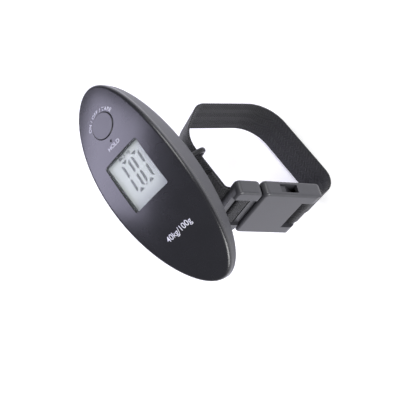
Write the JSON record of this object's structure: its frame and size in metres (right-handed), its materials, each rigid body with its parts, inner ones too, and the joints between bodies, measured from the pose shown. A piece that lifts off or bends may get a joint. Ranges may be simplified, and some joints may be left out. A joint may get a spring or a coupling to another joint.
{
  "type": "digital luggage scale",
  "caption": "Oval handheld digital luggage scale: bowed shell with LCD and power button, load link and ring behind, and a webbing loop closed by a side-release buckle.",
  "frame": {"origin": "middle of the oval case at the height of the rim's widest points", "axes": "+X across the case to the right of the readout, +Y along the case toward the button, +Z out of the face; the load strap hangs toward -Z"},
  "size_m": [0.0794, 0.135, 0.1167],
  "materials": {
    "black_abs": "semi-gloss",
    "grey_abs": "satin",
    "clear_acrylic": "polished",
    "lcd_glass": "grey-green",
    "white_abs": "matte",
    "elastomer": "matte",
    "board": "green solder mask",
    "epoxy": "glossy",
    "ceramic": "matte",
    "switch_steel": "stamped",
    "cell_aluminium": "machined",
    "gauge_film": "film",
    "zinc_steel": "zinc plated",
    "ring_steel": "black coated",
    "battery_steel": "bright",
    "contact_steel": "nickel plated",
    "webbing": "woven",
    "acetal": "satin",
    "wire_red": "pvc"
  },
  "bodies": {
    "case": {"front_shell": "black_abs", "rear_shell": "grey_abs", "display_window": "clear_acrylic", "lcd_panel": "lcd_glass", "lcd_holder": "white_abs", "zebra_connector": "elastomer", "circuit_board": "board", "chip_blob": "epoxy", "board_parts": "ceramic", "tact_switch": "switch_steel", "hold_led": "ceramic", "light_pipe": "clear_acrylic", "load_cell": "cell_aluminium", "strain_gauges": "gauge_film", "cell_screws": "zinc_steel", "load_yoke": "zinc_steel", "yoke_screw": "zinc_steel", "link_pin": "zinc_steel", "coin_cell": "battery_steel", "contact_bridge": "grey_abs", "contact_negative": "contact_steel", "contact_positive": "contact_steel", "shell_screws": "zinc_steel", "battery_wires": "wire_red", "gauge_wires": "wire_red"},
    "button": {"power_button": "black_abs", "switch_plunger": "epoxy"},
    "door": {"battery_door": "grey_abs"},
    "link": {"load_link": "zinc_steel"},
    "ring": {"strap_ring": "ring_steel"},
    "strap": {"strap_webbing": "webbing", "buckle_insert": "acetal"},
    "right_prong": {"prong_right": "acetal"},
    "left_prong": {"prong_left": "acetal"},
    "socket": {"buckle_socket": "acetal", "strap_sewn_end": "webbing"}
  },
  "joints": [
    {"name": "button_press", "type": "slide", "parent": "case", "child": "button", "axis": [0, 0, -1], "range_m": [0, 0.0006], "stiffness_N_per_m": 1500, "springref_m": -0.0002},
    {"name": "door_turn", "type": "hinge", "parent": "case", "child": "door", "pos_m": [0, -0.043, -0.016], "axis": [0, 0, 1], "range_deg": [0, 60]},
    {"name": "link_sway", "type": "hinge", "parent": "case", "child": "link", "pos_m": [0, 0, -0.024], "axis": [0, 1, 0], "range_deg": [0, 52]},
    {"name": "ring_swing", "type": "hinge", "parent": "link", "child": "ring", "pos_m": [0.00614, 0, -0.03658], "axis": [0.8988, 0, 0.4384], "range_deg": [-16, 20]},
    {"name": "strap_swing", "type": "hinge", "parent": "ring", "child": "strap", "pos_m": [0.01065, 0, -0.04584], "axis": [0.8988, 0, 0.4384], "range_deg": [-16, 20]},
    {"name": "prong_right_squeeze", "type": "hinge", "parent": "strap", "child": "right_prong", "pos_m": [0.02909, -0.03925, -0.05284], "axis": [0.199, 0.891, -0.408], "range_deg": [0, 11], "stiffness_Nm_per_rad": 0.5},
    {"name": "prong_left_squeeze", "type": "hinge", "parent": "strap", "child": "left_prong", "pos_m": [0.00482, -0.03925, -0.06468], "axis": [-0.199, -0.891, 0.408], "range_deg": [0, 11], "stiffness_Nm_per_rad": 0.5},
    {"name": "buckle_release", "type": "slide", "parent": "strap", "child": "socket", "axis": [0.3906, -0.454, -0.8008], "range_m": [0, 0.026], "deforming": ["prong_right", "prong_left"]}
  ],
  "couplings": [
    {"joint": "prong_left_squeeze", "follows": "prong_right_squeeze", "ratio": 1}
  ]
}
